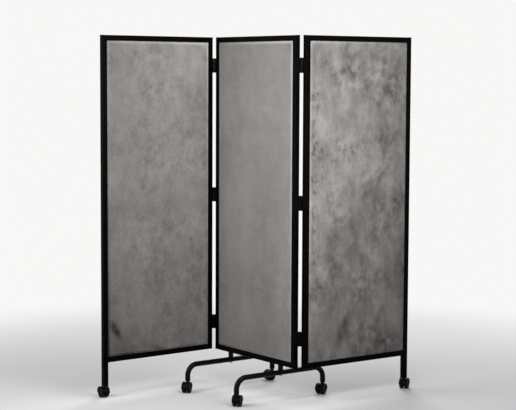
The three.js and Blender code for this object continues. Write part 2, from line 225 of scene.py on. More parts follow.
# Casters
WHEEL_RADIUS = 0.025
WHEEL_INNER = 0.0053
WHEEL_OUTER = 0.0203
TREAD_ROUND = 0.0035
TREAD_INNER_ROUND = 0.0014
TREAD_RIM = 0.0022
DUSTY_TREAD = 0.0006
FACE_DROP = 0.0006
HUB_RADIUS = 0.013
HUB_RECESS = 0.0025
HUB_SLOPE = 0.0006
HUB_CAP_RADIUS = 0.0062
HUB_CAP_SLOPE = 0.0003
HUB_CAP_HEIGHT = 0.0012
HUB_CAP_BORE = 0.0005
WHEEL_POCKETS = 6
POCKET_RADIUS = 0.0021
POCKET_DEPTH = 0.0022
POCKET_ASIDE = 0.0166
AXLE_RADIUS = 0.003
AXLE_PLAY = 0.00025
AXLE_PROUD = 0.0006
WEB_HALF = 0.005
WEB_SINK = 0.0006
WEB_FOOT_RADIUS = 0.016
WEB_FOOT_ROUND = 0.0008
HOOD_INNER_RADIUS = 0.0263
HOOD_RADIUS = 0.0281
HOOD_HALF_WIDTH = 0.0211
HOOD_SKIRT = 0.003
HOOD_ROUND = 0.0012
HOOD_SEGMENTS = 40
HOOD_DUST_SHARE = 0.35
FACE_DUST_SHARE = 0.12
RIB_ASIDE = 0.0130
RIB_WIDTH = 0.0016
RIB_PROUD = 0.0005
CASTER_TRAIL = 0.016
TUBE_OVER_HOOD = 0.0029
CASTER_HEIGHT = WHEEL_RADIUS + HOOD_RADIUS + TUBE_OVER_HOOD
BOSS_RADIUS = 0.009
BOSS_START = 0.008
BOSS_ROUND = 0.0009
COLLAR_RADIUS = 0.0072
COLLAR_HEIGHT = 0.0037
COLLAR_SINK = 0.001
COLLAR_ROUND = 0.0005
STEM_RADIUS = 0.0055
STEM_LENGTH = 0.020
STEM_PLAY = 0.0004
BOSS_HEIGHT = CASTER_HEIGHT - FIT - COLLAR_HEIGHT
TRAIL_DEGREES = {
    "left_panel": 84,
    "right_panel": 34,
    "left_foot_front": -50,
    "left_foot_back": -90,
    "right_foot_front": 129,
    "right_foot_back": -64,
}

# Stage: the floor, the tones of grey, and each lamp's place, the point that it looks at, its
# width and its power in watts
FLOOR_RADIUS = 40
FLOOR_SIDES = 96
FLOOR_FADE_START = 0.6
FLOOR_FADE_END = 3.2
FLOOR_TONE = 0.80
FLOOR_BOUNCE_TONE = 0.22
WORLD_LIGHT_TONE = 0.14
STUDIO_WHITE = (0.93, 0.006)
LAMPS = {
    "front": ((-0.3, -1.8, 1.4), (0, 0, 1.4), 1.0, 22.6),
    "right": ((1.2, -0.3, 1.4), (-0.1, 0.1, 1.4), 1.0, 15.8),
    "top": ((0.2, 0, 2.55), (0.2, 0, 0), 1.0, 14.4),
    "back": ((-1.5, 1.6, 1.9), (-0.1, 0.1, 1.3), 1.2, 34),
}

BODY_OF = {
    node: body
    for body, nodes in frame["record"]["behaviour"]["bodies"].items()
    for node in nodes
}
rail_low, rail_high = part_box("middle_panel_top_rail")
SCREEN_CENTRE = Vector(((rail_low.x + rail_high.x) / 2, (rail_low.y + rail_high.y) / 2, 0))


# Modelling by hand

def select(*pieces):
    """Selects these pieces alone and makes the first one active."""
    bpy.ops.object.select_all(action="DESELECT")
    for piece in reversed(pieces):
        piece.select_set(True)
        bpy.context.view_layer.objects.active = piece


@contextmanager
def editing(piece):
    select(piece)
    bpy.ops.object.mode_set(mode="EDIT")
    yield
    bpy.ops.object.mode_set(mode="OBJECT")


def fresh(name):
    """Names the primitive that was just added and puts its place in its mesh."""
    piece = bpy.context.object
    piece.name = piece.data.name = name
    bpy.ops.object.transform_apply(location=True, rotation=True, scale=True)
    return piece


def add_block(name, low, high):
    low, high = Vector(low), Vector(high)
    select()
    bpy.ops.mesh.primitive_cube_add(size=1, location=(low + high) / 2, scale=high - low)
    return fresh(name)


def add_rod(name, radius, start, end, sides=ROUND_SIDES):
    """A round bar from point to point."""
    start, end = Vector(start), Vector(end)
    way = end - start
    select()
    bpy.ops.mesh.primitive_cylinder_add(
        vertices=sides,
        radius=radius,
        depth=way.length,
        location=(start + end) / 2,
        rotation=way.to_track_quat("Z", "Y").to_euler(),
    )
    return fresh(name)


def add_upright(name, radius, low, high, sides=ROUND_SIDES):
    """A round bar on the Z axis."""
    return add_rod(name, radius, (0, 0, low), (0, 0, high), sides)


def pick(piece, mode, passes):
    """Selects the points, edges or faces that pass."""
    bpy.ops.mesh.select_mode(type=mode)
    bpy.ops.mesh.select_all(action="DESELECT")
    mesh = bmesh.from_edit_mesh(piece.data)
    for item in {"VERT": mesh.verts, "EDGE": mesh.edges, "FACE": mesh.faces}[mode]:
        item.select_set(bool(passes(item)))
    mesh.select_flush_mode()
    bmesh.update_edit_mesh(piece.data)


def pick_points(piece, rule):
    pick(piece, "VERT", lambda point: rule(point.co))


def pick_faces(piece, rule):
    """Selects the faces whose middle and normal pass the rule."""
    pick(piece, "FACE", lambda face: rule(face.calc_center_median(), face.normal))


def pick_all():
    bpy.ops.mesh.select_all(action="SELECT")


def round_edges(piece, fits, offset, segments, rule):
    """Rounds the edges whose direction fits and whose middle passes the rule."""
    def passes(edge):
        one, other = (point.co for point in edge.verts)
        return fits((other - one).normalized()) and (rule is None or rule((one + other) / 2))

    with editing(piece):
        pick(piece, "EDGE", passes)
        bpy.ops.mesh.bevel(
            offset=offset, segments=segments, profile=0.5, affect="EDGES", clamp_overlap=True,
        )


def round_corners(piece, axis, offset, segments, rule=None):
    """Rounds the edges that run along an axis."""
    round_edges(piece, lambda way: abs(getattr(way, axis)) > 0.99, offset, segments, rule)


def round_rims(piece, axis, offset, segments, rule=None):
    """Rounds the edges that lie across an axis, such as the rims of a rod."""
    round_edges(piece, lambda way: abs(getattr(way, axis)) < 0.01, offset, segments, rule)


def move(*way):
    bpy.ops.transform.translate(value=way)


def slice_off(point, outward):
    """Cuts away and closes what lies outward of a plane."""
    pick_all()
    bpy.ops.mesh.bisect(plane_co=point, plane_no=outward, clear_outer=True, use_fill=True)


def draw_edges(*way):
    """Extrudes the selected edges."""
    bpy.ops.mesh.extrude_edges_move(TRANSFORM_OT_translate={"value": way})


def apply(piece, kind, **settings):
    """Adds a modifier to the piece and applies it."""
    select(piece)
    modifier = piece.modifiers.new(kind.title(), kind)
    for key, value in settings.items():
        setattr(modifier, key, value)
    bpy.ops.object.modifier_apply(modifier=modifier.name)


def cut(piece, tool):
    """Takes the tool's shape out of the piece and removes the tool."""
    apply(piece, "BOOLEAN", operation="DIFFERENCE", object=tool, solver="EXACT")
    bpy.data.objects.remove(tool)


def join(name, *parts):
    select(*parts)
    bpy.ops.object.join()
    parts[0].name = parts[0].data.name = name
    return parts[0]


def smooth(piece):
    """Smooths the shading below the sharp angle, and keeps flat faces flat."""
    select(piece)
    bpy.ops.object.shade_smooth_by_angle(angle=SMOOTH_ANGLE)
    apply(piece, "WEIGHTED_NORMAL", keep_sharp=True, weight=60)
    return piece


def share_by(piece, name, rule):
    """Writes a number at each point of the piece for its material to read."""
    layer = piece.data.attributes.new(name, "FLOAT", "POINT")
    for point in piece.data.vertices:
        layer.data[point.index].value = rule(point.co)


def copy_to(piece, name, place):
    """A copy with its own mesh, taken to its place by a matrix."""
    twin = piece.copy()
    twin.data = piece.data.copy()
    twin.name = twin.data.name = name
    bpy.context.scene.collection.objects.link(twin)
    twin.data.transform(place)
    return twin


def discard(*pieces):
    for piece in pieces:
        bpy.data.objects.remove(piece)


def fit(piece, body, material):
    """Gives a piece its body and its material."""
    piece.data.materials.append(material)
    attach(piece, body)


def fit_for(piece, node, material):
    """Fits a piece that stands for a node."""
    fit(piece, BODY_OF[node], material)
    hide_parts(node)


def turned(angle, axis):
    return Matrix.Rotation(angle, 4, axis)


def shifted(x, y, z):
    return Matrix.Translation((x, y, z))


# Material nodes

def new_material(name):
    """A material with its node tree and its main shader."""
    material = bpy.data.materials.new(name)
    material.use_nodes = True
    tree = material.node_tree
    return material, tree, tree.nodes["Principled BSDF"]


def fill(tree, node, inputs):
    """Fills a node's inputs with values or with other nodes' outputs."""
    for key, value in inputs.items():
        if isinstance(value, bpy.types.NodeSocket):
            tree.links.new(value, node.inputs[key])
        else:
            node.inputs[key].default_value = value


def put(tree, kind, inputs, **settings):
    """Adds a node with its inputs filled."""
    node = tree.nodes.new("ShaderNode" + kind)
    for key, value in settings.items():
        setattr(node, key, value)
    fill(tree, node, inputs)
    return node


def object_place(tree, scale=(1, 1, 1), shift=(0, 0, 0)):
    coordinates = put(tree, "TexCoord", {}).outputs["Object"]
    return put(tree, "Mapping", {"Vector": coordinates, "Scale": scale, "Location": shift}).outputs[0]


def noise(tree, place, scale, detail=3, roughness=0.55):
    inputs = {"Vector": place, "Scale": scale, "Detail": detail, "Roughness": roughness}
    return put(tree, "TexNoise", inputs).outputs["Fac"]


def remap(tree, value, low, high, to_low=0, to_high=1):
    """Turns low to high into to_low to to_high along a smooth step."""
    inputs = {
        "Value": value,
        "From Min": low,
        "From Max": high,
        "To Min": to_low,
        "To Max": to_high,
    }
    return put(tree, "MapRange", inputs, interpolation_type="SMOOTHSTEP").outputs["Result"]


def calculate(tree, operation, one, other=0):
    return put(tree, "Math", {0: one, 1: other}, operation=operation).outputs[0]


def times(tree, one, other):
    return calculate(tree, "MULTIPLY", one, other)


def blend(tree, share, one, other):
    return put(tree, "Mix", {0: share, 6: one, 7: other}, data_type="RGBA").outputs[2]


def finish(name, pattern, *settings):
    """A material from a pattern that gives its colour, its roughness, its relief with the
    depth and strength of that, and what else its shader needs."""
    material, tree, shader = new_material(name)
    colour, roughness, relief, depth, strength, others = pattern(tree, *settings)
    bump = put(tree, "Bump", {"Height": relief, "Distance": depth, "Strength": strength})
    inputs = {"Base Color": colour, "Roughness": roughness, "Normal": bump.outputs["Normal"]}
    fill(tree, shader, {**inputs, **others})
    return material


def worn_edges(tree, low=0.05, high=0.22):
    """1 on the rounded edges of a squared piece and 0 on its flats."""
    normal = put(tree, "TexCoord", {}).outputs["Normal"]
    parts = put(tree, "SeparateXYZ", {0: normal}).outputs
    sizes = [calculate(tree, "ABSOLUTE", part) for part in parts]
    largest = calculate(tree, "MAXIMUM", calculate(tree, "MAXIMUM", sizes[0], sizes[1]), sizes[2])
    return remap(tree, calculate(tree, "SUBTRACT", 1, largest), low, high)


def grey(value, warmth=0):
    return (value * (1 + warmth), value, value * (1 - warmth), 1)


def black_powder_coat(tree, shine, specular_level):
    """Black coat with a fine orange peel, rubbed a little on its edges."""
    place = object_place(tree)
    cloud = remap(tree, noise(tree, place, 9, 4), 0.3, 0.7)
    coat = blend(tree, cloud, grey(0.0010), grey(0.0020, 0.06))
    patches = remap(tree, noise(tree, place, 38, 6, 0.7), 0.5, 0.68)
    rub = times(tree, worn_edges(tree), patches)
    colour = blend(tree, rub, coat, grey(0.012, 0.05))
    gloss = remap(tree, noise(tree, place, 55, 3), 0.25, 0.75, shine, shine + 0.12)
    roughness = calculate(tree, "SUBTRACT", gloss, times(tree, rub, 0.1))
    peel = noise(tree, place, 1100, 2, 0.5)
    return colour, roughness, peel, PEEL_DEPTH, 0.5, {"Specular IOR Level": specular_level}


def black_hinge_paint(tree):
    """Thin satin paint on pressed steel, worn on the knuckles."""
    place = object_place(tree)
    patches = remap(tree, noise(tree, place, 240, 5, 0.65), 0.56, 0.72)
    rub = times(tree, worn_edges(tree, 0.03, 0.25), patches)
    coat = blend(tree, noise(tree, place, 60, 3), grey(0.0018), grey(0.0034, 0.05))
    colour = blend(tree, rub, coat, grey(0.014, 0.03))
    roughness = remap(tree, noise(tree, place, 130, 3), 0.3, 0.7, 0.28, 0.40)
    grain = noise(tree, place, 1500, 2)
    others = {"Specular IOR Level": 0.04, "Metallic": times(tree, rub, 0.4)}
    return colour, roughness, grain, PAINT_DEPTH, 0.45, others


def bare_steel(tree, bloom_of, smoothest, roughest):
    """Steel with no paint on it, in the colour of its bloom, with a fine grain."""
    place = object_place(tree)
    roughness = remap(tree, noise(tree, place, 400, 4), 0.3, 0.7, smoothest, roughest)
    grain = noise(tree, place, 2200, 2)
    return bloom_of(tree, place), roughness, grain, STEEL_DEPTH, 0.5, {"Metallic": 1}


def zinc_bloom(tree, place):
    """Dark zinc plate with a faint bloom, bluish to yellowish."""
    bloom = noise(tree, place, 180, 5, 0.6)
    return blend(tree, bloom, (0.24, 0.25, 0.27, 1), (0.38, 0.37, 0.34, 1))


def black_bloom(tree, place):
    """Oil black with a dull grey bloom."""
    bloom = remap(tree, noise(tree, place, 260, 5, 0.65), 0.35, 0.7)
    return blend(tree, bloom, grey(0.012), grey(0.035, 0.04))


def brown_board(tree):
    """Pressed fibre board, seen only where the cloth is off."""
    fibres = noise(tree, object_place(tree, (1, 1, 0.3)), 420, 6, 0.7)
    colour = blend(tree, fibres, (0.20, 0.12, 0.06, 1), (0.36, 0.24, 0.13, 1))
    roughness = remap(tree, fibres, 0.3, 0.7, 0.8, 0.95)
    return colour, roughness, noise(tree, object_place(tree), 900, 4), BOARD_DEPTH, 0.6, {}


def moulded_plastic(tree, tone, shine, dust_share):
    """Black moulded plastic with a fine spark-eroded grain, scuffs and a little dust."""
    place = object_place(tree)
    base = blend(tree, noise(tree, place, 70, 4), grey(tone), grey(tone * 1.7, 0.05))
    low = object_place(tree, (1, 1, 3.5))
    scuffs = remap(tree, noise(tree, low, 160, 6, 0.75), 0.62, 0.74, 0, dust_share)
    dust = put(tree, "Attribute", {}, attribute_name="dust_share").outputs["Fac"]
    patches = remap(tree, noise(tree, place, 110, 5, 0.7), 0.3, 0.7, 0.25, 1)
    dusty = times(tree, times(tree, dust, patches), dust_share)
    shade = calculate(tree, "MAXIMUM", scuffs, dusty)
    colour = blend(tree, shade, base, (0.105, 0.098, 0.09, 1))
    gloss = remap(tree, noise(tree, place, 300, 3), 0.3, 0.7, shine, shine + 0.12)
    roughness = calculate(tree, "ADD", gloss, times(tree, shade, 0.25))
    grain = noise(tree, place, 2400, 2)
    return colour, roughness, grain, PLASTIC_DEPTH, 0.5, {"Specular IOR Level": 0.06}


def mark(tree, panel, aside, height, lean, size, strength, grain):
    """A soft mark on a panel's front, a small dark streak in the nap or a broad patch of
    painted shade, which is painted light where its strength is below zero: its darkening, 0
    away from it.
    """
    place = PANELS[panel][1]
    inputs = {
        "Vector": put(tree, "TexCoord", {}).outputs["Object"],
        "Location": place @ Vector((aside, -INFILL_THICKNESS / 2, height)),
        "Rotation": (0, math.radians(lean), place.to_euler().z),
        "Scale": (size[0], MARK_DEPTH, size[1]),
    }
    local = put(tree, "Mapping", inputs, vector_type="TEXTURE").outputs[0]
    fall = put(tree, "TexGradient", {"Vector": local}, gradient_type="SPHERICAL").outputs["Fac"]
    return times(tree, times(tree, remap(tree, fall, 0, 0.85), grain), strength)


def layered(tree, tone, pattern, depth):
    """Adds a noise pattern to a tone, as much above it as below it."""
    return calculate(tree, "ADD", tone, times(tree, remap(tree, pattern, 0.25, 0.75, -1, 1), depth))


def grey_nap(tree, panel):
    """Brushed grey cloth. Its short nap lies upright in fine streaks over a weave, with soft
    clouds, slanting strokes and small dark flecks where it was rubbed. Where it rolls over the
    edges of its board it carries a painted highlight at the top and painted shade at the
    bottom, with painted light and shade at its sides, and broad patches of painted shade and
    painted light lie on its front."""
    nap_share, cloud_share, stroke_share, draw_share = NAP_SHARES[panel]
    shift = NAP_SHIFTS[panel]
    place = object_place(tree, shift=shift)
    upright = object_place(tree, (1, 1, draw_share), shift)
    tufts = noise(tree, upright, 52, 4, 0.6)
    fibres = noise(tree, object_place(tree, (1, 1, 0.5), shift), 900, 3, 0.7)
    slanting = {"Vector": place, "Rotation": (0.5, 1.1, 0.4), "Scale": (0.45, 1, 1)}
    strokes = noise(tree, put(tree, "Mapping", slanting).outputs[0], 24, 2, 0.5)
    rubbed = remap(tree, noise(tree, place, 5, 2), 0.44, 0.62)
    stroke_depth = times(tree, rubbed, 0.13 * stroke_share)
    # The tone starts from the painted highlight and shade along the rolled edges
    tone = put(tree, "Attribute", {}, attribute_name="painted_edge_light_share").outputs["Fac"]
    for pattern, depth in (
        (noise(tree, place, 3.6, 2, 0.5), 0.055 * cloud_share),
        (noise(tree, upright, 15, 3, 0.5), 0.050 * cloud_share),
        (strokes, stroke_depth),
        (tufts, 0.055 * nap_share),
        (noise(tree, upright, 130, 3, 0.6), 0.050 * nap_share),
        (fibres, 0.080),
    ):
        tone = layered(tree, tone, pattern, depth)
    flecks = remap(tree, noise(tree, place, 55, 2, 0.5), 0.56, 0.74)
    tone = calculate(tree, "SUBTRACT", tone, times(tree, flecks, times(tree, stroke_depth, 0.4)))
    grain = remap(tree, tufts, 0.3, 0.65, 0.55, 1)
    specks = noise(tree, object_place(tree, (1, 1, 0.8), shift), 34, 2, 0.5)
    specks = remap(tree, specks, 0.50, 0.70)
    # Dark streaks and specks, and the broad patches of painted shade and painted light
    for rows, pattern in ((MARKS[panel], grain), (SPECKLES.get(panel, ()), specks)):
        for row in rows:
            tone = calculate(tree, "SUBTRACT", tone, mark(tree, panel, *row, pattern))
    share = calculate(tree, "ADD", tone, 0.5)
    colour = blend(tree, share, grey(0), CLOTH_COLOUR)
    roughness = remap(tree, tufts, 0.3, 0.7, 0.86, 0.98)
    relief = calculate(tree, "ADD", fibres, times(tree, tufts, 1.6))
    others = {"Sheen Weight": 0.06, "Sheen Roughness": 0.5, "Specular IOR Level": 0.05}
    return colour, roughness, relief, NAP_DEPTH, 0.6, others


# Frames

def square_tube(name, length, start_mitred, end_mitred):
    """Frame tube up from z = 0. Its -X side is the long one where an end is mitred."""
    half = TUBE / 2
    piece = add_block(name, (-half, -half, 0), (half, half, length))
    with editing(piece):
        for mitred, way in ((end_mitred, -1), (start_mitred, 1)):
            if mitred:
                pick_points(piece, lambda point: point.x > 0 and way * (length / 2 - point.z) > 0)
                move(0, 0, way * TUBE)
    round_corners(piece, "z", TUBE_CORNER, CORNER_SEGMENTS)
    return piece


def open_ends(piece):
    """Turns each end that stands on a caster in over the tube's wall, and up to the floor of
    its socket."""
    with editing(piece):
        pick_faces(piece, lambda middle, normal: normal.z < -0.9 and middle.z < CASTER_HEIGHT + NEAR)
        bpy.ops.mesh.inset(thickness=TUBE_WALL, use_individual=True)
        bpy.ops.mesh.extrude_region_move(TRANSFORM_OT_translate={"value": (0, 0, SOCKET_DEPTH)})
    return smooth(piece)


def bored(plug, low):
    """Cuts the stem's hole through a plug."""
    high = CASTER_HEIGHT + SOCKET_DEPTH
    cut(plug, add_upright("bore", STEM_RADIUS + STEM_PLAY, low - CUT_PAST, high + CUT_PAST))
    return smooth(plug)


def socket_plug(name, half_width, corner):
    """The moulded plug in a leg post's end that holds the caster's stem."""
    low, high = CASTER_HEIGHT + PLUG_LIP, CASTER_HEIGHT + SOCKET_DEPTH
    piece = add_block(name, (-half_width, -half_width, low), (half_width, half_width, high))
    round_corners(piece, "z", corner, CORNER_SEGMENTS)
    with editing(piece):
        pick_faces(piece, lambda middle, normal: normal.z < -0.9)
        bpy.ops.mesh.inset(thickness=PLUG_LIP)
        move(0, 0, -PLUG_PROUD)
    return bored(piece, low)


def mitre_bead(name):
    """The dressed weld round a mitred corner, with that corner at the origin and the panel
    towards +X and -Z. It is trimmed level with the weld's own rise at the outer corner."""
    half = TUBE / 2
    wide, deep = half * math.sqrt(2) + BEAD_PROUD, half + BEAD_PROUD
    thin = BEAD_WIDTH / 2
    piece = add_block(name, (-wide, -deep, -thin), (wide, deep, thin))
    round_corners(piece, "z", TUBE_CORNER, CORNER_SEGMENTS)
    round_rims(piece, "z", BEAD_ROUND, 3)
    with editing(piece):
        pick_all()
        bpy.ops.transform.rotate(value=-math.pi / 4, orient_axis="Y", center_override=(0, 0, 0))
        move(half, 0, -half)
        for outward in (Vector((-1, 0, 0)), Vector((0, 0, 1))):
            slice_off(outward * BEAD_PROUD, outward)
    return smooth(piece)


def butt_bead(name):
    """The weld round the end of a rail where it meets a leg post at x = 0."""
    half = TUBE / 2 + BEAD_PROUD
    piece = add_block(name, (-BEAD_SINK, -half, -half), (BEAD_REACH, half, half))
    round_corners(piece, "x", TUBE_CORNER, CORNER_SEGMENTS)
    round_rims(piece, "x", BEAD_ROUND, 3, lambda middle: middle.x > BEAD_REACH / 2)
    return smooth(piece)


def panel_place(side, fold):
    """Takes a wing panel's own coordinates, centred on its width, to the screen's."""
    pins = SCREEN_CENTRE + Vector((side * PIN_ASIDE, side * PIN_AHEAD, 0))
    return shifted(*pins) @ turned(fold, "Z") @ shifted(side * PIN_ASIDE, -side * PIN_AHEAD, 0)


# Each panel's leg side, or 0, and its place
PANELS = {
    "middle_panel": (0, shifted(*SCREEN_CENTRE)),
    "left_panel": (-1, panel_place(-1, LEFT_FOLD)),
    "right_panel": (1, panel_place(1, RIGHT_FOLD)),
}
SIDES = (("left", -1), ("right", 1))


def facing(side):
    """Turns what is modelled for a panel's left side to the given side."""
    return turned(math.pi if side > 0 else 0, "Z")


def build_posts(coat):
    post = smooth(square_tube("post", PANEL_HEIGHT, True, True))
    leg = open_ends(square_tube("leg", TOTAL_HEIGHT - CASTER_HEIGHT, False, True))
    for name, (leg_side, place) in PANELS.items():
        for word, side in SIDES:
            model, height = (leg, CASTER_HEIGHT) if side == leg_side else (post, RAIL_UNDERSIDE)
            if leg_side:
                word = "outer" if side == leg_side else "inner"
            node = f"{name}_{word}_post"
            there = place @ shifted(side * (PANEL_WIDTH - TUBE) / 2, 0, height) @ facing(side)
            fit_for(copy_to(model, f"{node}_tube", there), node, coat)
    discard(post, leg)


def build_rails(coat):
    half = PANEL_WIDTH / 2
    mitred = smooth(square_tube("mitred_rail", PANEL_WIDTH, True, True))
    butted = smooth(square_tube("butted_rail", PANEL_WIDTH - TUBE, False, True))
    for name, (leg_side, place) in PANELS.items():
        top = shifted(-half, 0, TOTAL_HEIGHT - TUBE / 2) @ turned(math.pi / 2, "Y")
        model, start = (butted, half - TUBE) if leg_side else (mitred, half)
        bottom = shifted(start, 0, RAIL_UNDERSIDE + TUBE / 2) @ turned(-math.pi / 2, "Y")
        if leg_side < 0:
            bottom = turned(math.pi, "Z") @ bottom
        for word, tube, there in (("top", mitred, top), ("bottom", model, bottom)):
            node = f"{name}_{word}_rail"
            fit_for(copy_to(tube, f"{node}_tube", place @ there), node, coat)
    discard(mitred, butted)


def build_welds(coat):
    corner = mitre_bead("corner_bead")
    end = butt_bead("end_bead")
    half = PANEL_WIDTH / 2
    for name, (leg_side, place) in PANELS.items():
        for word, side in SIDES:
            top = shifted(side * half, 0, TOTAL_HEIGHT) @ facing(side)
            if side == leg_side:
                model = end
                bottom = shifted(side * (half - TUBE), 0, RAIL_UNDERSIDE + TUBE / 2) @ facing(side)
            else:
                model = corner
                bottom = shifted(side * half, 0, RAIL_UNDERSIDE) @ facing(side) @ turned(math.pi, "X")
            fit(copy_to(corner, f"{name}_top_{word}_weld", place @ top), name, coat)
            fit(copy_to(model, f"{name}_bottom_{word}_weld", place @ bottom), name, coat)
    discard(corner, end)


# Infills

def rolled_slab(name, margin, thickness):
    """A slab for the infill whose faces roll over towards their edges. It is modelled too
    thick, so that its round edges become shallow ones when it is brought to its thickness."""
    stretch = ROLL_WIDTH / ROLL_DEPTH
    width = SLEEVE_WIDTH / 2 - margin
    deep = thickness / 2 * stretch
    piece = add_block(name, (-width, -deep, SLEEVE_LOW + margin), (width, deep, SLEEVE_HIGH - margin))
    round_rims(piece, "y", ROLL_WIDTH, ROLL_SEGMENTS)
    with editing(piece):
        pick_all()
        bpy.ops.transform.resize(value=(1, 1 / stretch, 1), center_override=(0, 0, 0))
    return smooth(piece)


def painted_edge_light_rule(top, left, right, low):
    """The rule for the painted highlight and shade: how much paler or darker a panel's cloth is
    where it rolls over.
    """
    def rule(point):
        past_edges = (
            (point.z - SLEEVE_HIGH, top),
            (-point.x - SLEEVE_WIDTH / 2, left),
            (point.x - SLEEVE_WIDTH / 2, right),
            (SLEEVE_LOW - point.z, low),
        )
        tone = 0
        for past, share in past_edges:
            tone += share * min(1, max(0, EDGE_FALL * (1 + past / ROLL_WIDTH)))
        return tone

    return rule


def fabric_sleeve():
    """The cloth of one infill, a bag drawn over its board."""
    piece = rolled_slab("sleeve", 0, INFILL_THICKNESS)
    apply(piece, "SOLIDIFY", thickness=CLOTH, offset=-1, use_even_offset=True)
    return piece


def build_infills():
    sleeve = fabric_sleeve()
    board = rolled_slab("board", CLOTH + FIT, INFILL_THICKNESS - 2 * (CLOTH + FIT))
    board_finish = finish("brown_board", brown_board)
    naps = {panel: finish(f"{panel}_grey_nap", grey_nap, panel) for panel in NAP_SHARES}
    for name, (_, place) in PANELS.items():
        core = copy_to(board, f"{name}_board", place)
        fit_for(core, f"{name}_core_board", board_finish)
        cloth = copy_to(sleeve, f"{name}_sleeve", Matrix.Identity(4))
        # Paint the highlight and shade along the cloth's rolled edges
        share_by(cloth, "painted_edge_light_share", painted_edge_light_rule(*PAINTED_EDGE_LIGHT[name]))
        cloth.data.transform(place)
        fit_for(cloth, f"{name}_fabric_sleeve", naps[name])
    discard(sleeve, board)


# Hinges

def knuckle(index, radius, play):
    """The round of one knuckle's length, shorter by the play."""
    low, high = index * KNUCKLE_HEIGHT + play / 2, (index + 1) * KNUCKLE_HEIGHT - play / 2
    return add_upright(f"knuckle_{index}", radius, low, high, SMALL_SIDES)


def hinge_leaf(name, first_knuckle):
    """A leaf about the pin at the origin, on the +X side and towards +Y."""
    inner, far = LEAF_OUTER_FACE - LEAF_THICKNESS, PIN_STAND_OFF + LEAF_REACH
    plate = add_block("plate", (inner, 0, 0), (LEAF_OUTER_FACE, far, HINGE_HEIGHT))
    round_corners(plate, "x", LEAF_CORNER, 5, lambda middle: middle.y > far / 2)
    round_rims(plate, "x", LEAF_ROUND, 2, lambda middle: middle.x < inner + FIT)
    parts = [plate]
    for index in range(KNUCKLES):
        if index % 2 == first_knuckle:
            part = knuckle(index, LEAF_OUTER_FACE, FIT)
            round_rims(part, "z", KNUCKLE_ROUND, 2)
            parts.append(part)
        else:
            cut(plate, knuckle(index, LEAF_OUTER_FACE + FIT, -FIT))
    return smooth(join(name, *parts))


def hinge_pin(name):
    """The pin's domed head, which shows above the knuckles, on its shank."""
    seat = HINGE_HEIGHT + FIT
    shank = add_upright(name, PIN_RADIUS, 0, seat, SLIM_SIDES)
    head = add_upright("head", PIN_HEAD_RADIUS, seat, seat + PIN_HEAD_HEIGHT, SMALL_SIDES)
    round_rims(head, "z", PIN_DOME, 4, lambda middle: middle.z > seat + NEAR)
    return smooth(join(name, shank, head))


def leaf_screws(name):
    """Three countersunk heads with cross recesses on the leaf's inner face, which looks
    towards -X."""
    face = LEAF_OUTER_FACE - LEAF_THICKNESS
    aside = PIN_STAND_OFF + LEAF_REACH / 2
    wide = (SCREW_SLOT_HALF_LENGTH, SCREW_SLOT_WIDTH / 2)
    heads = []
    for share in SCREW_HEIGHT_SHARES:
        middle = Vector((face, aside, HINGE_HEIGHT * share))
        inside = middle + Vector((LEAF_THICKNESS / 2, 0, 0))
        proud = middle - Vector((SCREW_HEAD_PROUD, 0, 0))
        head = add_rod("head", SCREW_HEAD_RADIUS, inside, proud, SMALL_SIDES)
        round_rims(head, "x", SCREW_HEAD_ROUND, 2, lambda centre: centre.x < face)
        for turn in (0, 1):
            across = Vector((SCREW_SLOT_DEPTH, wide[turn], wide[1 - turn]))
            cut(head, add_block("slot", proud - across, proud + across))
        heads.append(head)
    return smooth(join(name, *heads))


HINGE_HEIGHTS = {
    "upper": TOTAL_HEIGHT - HINGE_END_INSET,
    "centre": (TOTAL_HEIGHT + RAIL_UNDERSIDE) / 2,
    "lower": RAIL_UNDERSIDE + HINGE_END_INSET,
}
LEAF_TURNS = {
    (1, 1): (0, "Z"),
    (-1, -1): (math.pi, "Z"),
    (1, -1): (math.pi, "X"),
    (-1, 1): (math.pi, "Y"),
}


def leaf_facing(aside, toward):
    """Turns a leaf to the post on the aside side of its pin and the panel on the toward side."""
    upright = shifted(0, 0, HINGE_HEIGHT / 2)
    return upright @ turned(*LEAF_TURNS[aside, toward]) @ upright.inverted()


def build_hinges(paint):
    wing_leaf = hinge_leaf("wing_leaf", 1)
    body_leaf = hinge_leaf("body_leaf", 0)
    pin = hinge_pin("pin")
    screws = leaf_screws("screws")
    for fold, side in SIDES:
        wing_place = PANELS[f"{fold}_panel"][1] @ shifted(-side * PIN_ASIDE, side * PIN_AHEAD, 0)
        body_place = PANELS["middle_panel"][1] @ shifted(side * PIN_ASIDE, side * PIN_AHEAD, 0)
        for level, height in HINGE_HEIGHTS.items():
            up = shifted(0, 0, height - HINGE_HEIGHT / 2)
            hinge = f"{fold}_{level}_hinge"
            for word, model, place, aside in (
                ("wing", wing_leaf, wing_place, side),
                ("middle", body_leaf, body_place, -side),
            ):
                node = f"{hinge}_{word}_leaf"
                there = place @ up @ leaf_facing(aside, -side)
                fit_for(copy_to(model, f"{node}_plate", there), node, paint)
                fit(copy_to(screws, f"{hinge}_{word}_screws", there), BODY_OF[node], paint)
            node = f"{hinge}_pin"
            fit_for(copy_to(pin, f"{node}_domed", body_place @ up), node, paint)
    discard(wing_leaf, body_leaf, pin, screws)


# Feet

def spin_bend(middle):
    """Draws the selected ring round a quarter bend about a point of the foot's length."""
    bpy.ops.mesh.spin(
        steps=BEND_STEPS, angle=math.pi / 2, center=(0, middle, FOOT_AXIS - FOOT_BEND), axis=(1, 0, 0),
    )


